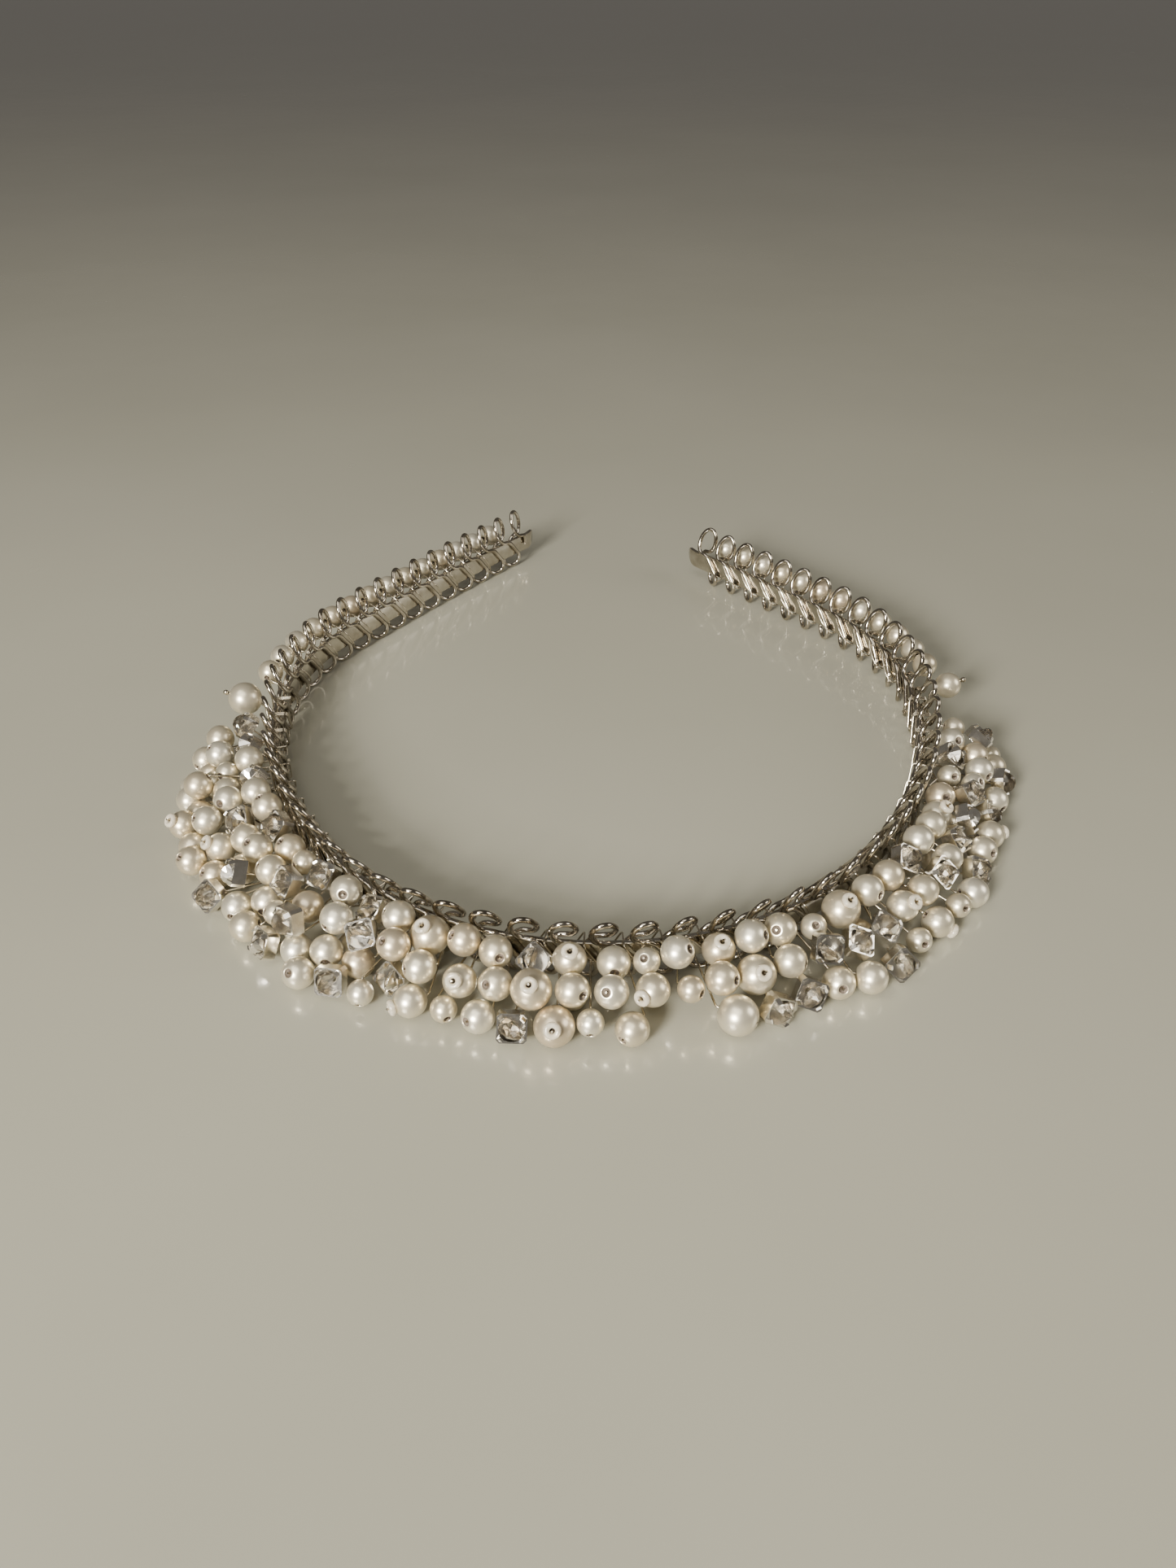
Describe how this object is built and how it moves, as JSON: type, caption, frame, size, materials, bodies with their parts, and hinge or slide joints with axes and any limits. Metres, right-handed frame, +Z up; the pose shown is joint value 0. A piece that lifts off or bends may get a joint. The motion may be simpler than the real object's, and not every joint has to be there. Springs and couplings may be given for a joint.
{
  "type": "bridal tiara",
  "caption": "Open oval bridal headband of flat silver strip wound with looped wire, with pearls along both arms and a cluster of pearls and claw-set crystals over the front.",
  "frame": {"origin": "centre of the bounding box in X and Y, on the surface the tiara lies on", "axes": "+Z up from the surface, +Y towards the open back of the band, X across the band, the beaded front towards -Y"},
  "size_m": [0.1504, 0.1646, 0.0133],
  "materials": {
    "silver_strip": "polished silver plate",
    "silver_loop_wire": "polished silver plated wire",
    "fine_wire": "polished fine wire",
    "silver_setting": "polished claw settings",
    "pearl": "ivory pearl coating",
    "crystal": "foiled faceted crystal",
    "seed_bead": "clear cream seed bead"
  },
  "bodies": {
    "front": {"band_front": "silver_strip", "binding_wire_front": "fine_wire", "claw_cups_low_row": "silver_setting", "claw_cups_middle_row": "silver_setting", "claw_cups_outer_row": "silver_setting", "claw_cups_top_row": "silver_setting", "crystals_low_row": "crystal", "crystals_middle_row": "crystal", "crystals_outer_row": "crystal", "crystals_top_row": "crystal", "end_pearl_stem_left": "fine_wire", "end_pearl_stem_right": "fine_wire", "loop_wire_front": "silver_loop_wire", "pearls_4mm_low_row": "pearl", "pearls_4mm_middle_row": "pearl", "pearls_4mm_outer_row": "pearl", "pearls_4mm_top_row": "pearl", "pearls_4mm_under_row": "pearl", "pearls_5mm_low_row": "pearl", "pearls_5mm_middle_row": "pearl", "pearls_5mm_outer_row": "pearl", "pearls_5mm_top_row": "pearl", "pearls_6mm_low_row": "pearl", "pearls_6mm_middle_row": "pearl", "pearls_6mm_top_row": "pearl", "seed_beads": "seed_bead", "stems_low_row": "fine_wire", "stems_middle_row": "fine_wire", "stems_outer_row": "fine_wire", "stems_top_row": "fine_wire", "stems_under_row": "fine_wire", "wrap_wires_left": "fine_wire", "wrap_wires_right": "fine_wire"},
    "left_arm": {"band_left_arm": "silver_strip", "loop_wire_left_arm": "silver_loop_wire", "pearls_left_arm": "pearl", "stringing_wire_left_arm": "fine_wire", "tie_wire_left_arm": "fine_wire"},
    "right_arm": {"band_right_arm": "silver_strip", "loop_wire_right_arm": "silver_loop_wire", "pearls_right_arm": "pearl", "stringing_wire_right_arm": "fine_wire", "tie_wire_right_arm": "fine_wire"},
    "left_end_pearl": {"end_pearl_left": "pearl"},
    "right_end_pearl": {"end_pearl_right": "pearl"}
  },
  "joints": [
    {"name": "left_arm_flex", "type": "hinge", "parent": "front", "child": "left_arm", "pos_m": [-0.06136, 0.00479, 0.005], "axis": [0, 0, 1], "range_deg": [-6, 25], "stiffness_Nm_per_rad": 0.5},
    {"name": "right_arm_flex", "type": "hinge", "parent": "front", "child": "right_arm", "pos_m": [0.06208, 0.00932, 0.005], "axis": [0, 0, -1], "range_deg": [-6, 25], "stiffness_Nm_per_rad": 0.5},
    {"name": "left_end_pearl_spin", "type": "hinge", "parent": "front", "child": "left_end_pearl", "pos_m": [-0.06741, -0.00019, 0.0084], "axis": [-0.9101, -0.0579, 0.4104], "continuous": true},
    {"name": "right_end_pearl_spin", "type": "hinge", "parent": "front", "child": "right_end_pearl", "pos_m": [0.06808, 0.00468, 0.0084], "axis": [0.9119, -0.006, 0.4104], "continuous": true}
  ]
}
